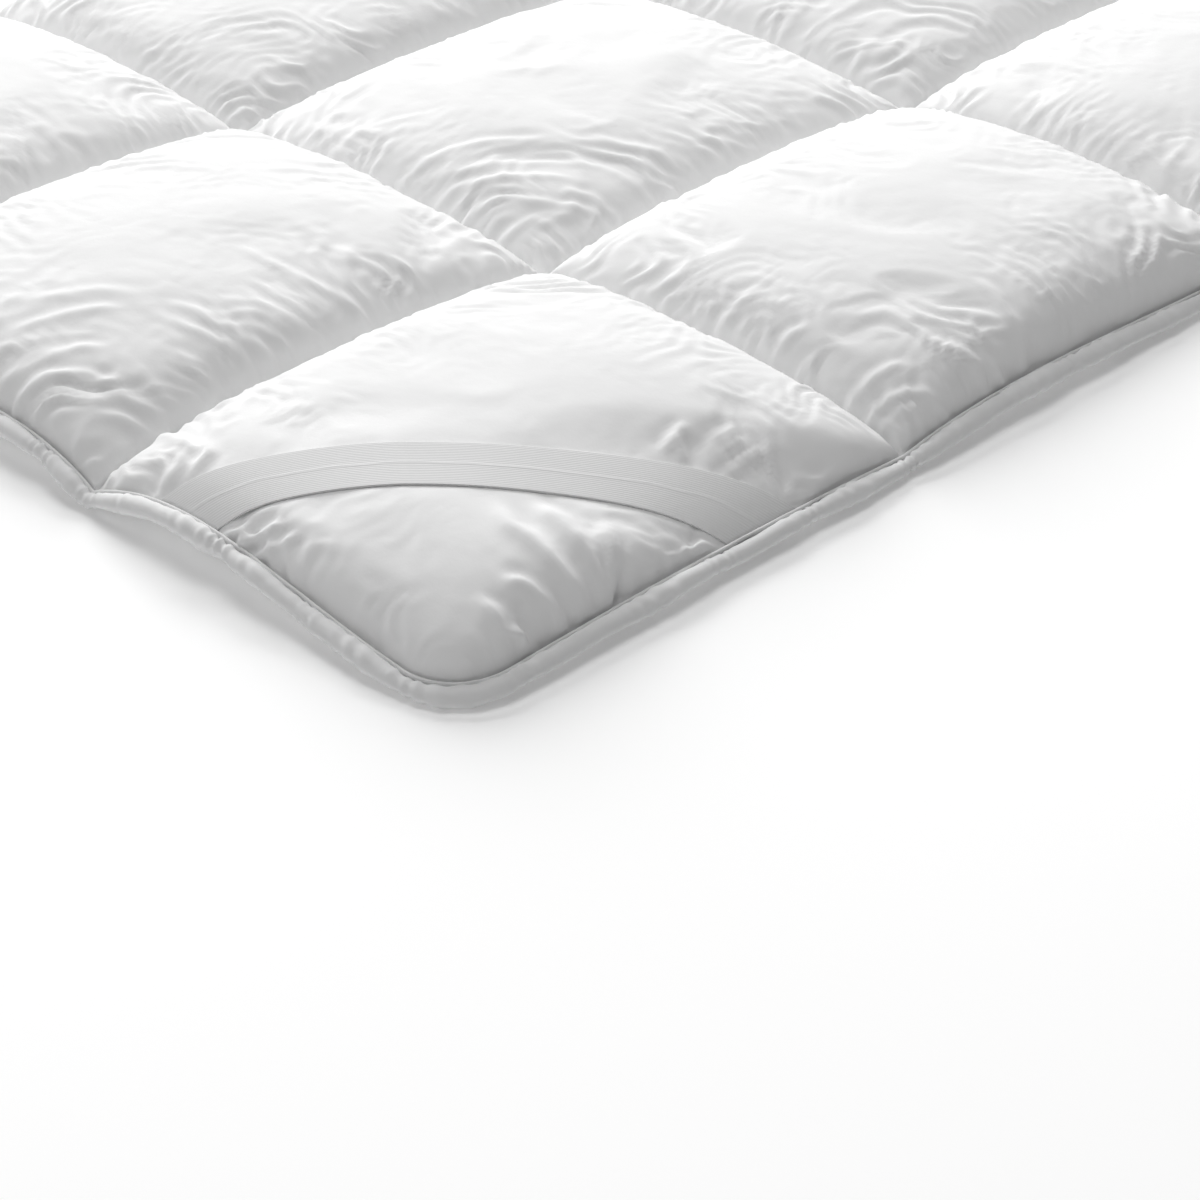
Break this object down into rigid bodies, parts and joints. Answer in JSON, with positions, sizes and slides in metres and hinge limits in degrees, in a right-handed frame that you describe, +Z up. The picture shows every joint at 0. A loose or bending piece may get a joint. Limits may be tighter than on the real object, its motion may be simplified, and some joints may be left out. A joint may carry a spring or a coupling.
{
  "type": "mattress topper",
  "caption": "Box-stitched filled mattress topper of square pads with a piped edge and an elastic band across each corner to hold it on a mattress.",
  "frame": {"origin": "centre of the topper on the plane that it lies on", "axes": "+Z up, Y along the length of the bed, X across it"},
  "size_m": [1, 2, 0.078],
  "materials": {
    "cotton_shell": "fine white percale cotton, softly creased",
    "cotton_piping": "white percale cotton drawn round a cord",
    "elastic": "flat ribbed white woven elastic"
  },
  "bodies": {
    "root": {"quilt": "cotton_shell", "piping": "cotton_piping", "band_southeast": "elastic", "band_northeast": "elastic", "band_northwest": "elastic", "band_southwest": "elastic"}
  },
  "joints": []
}
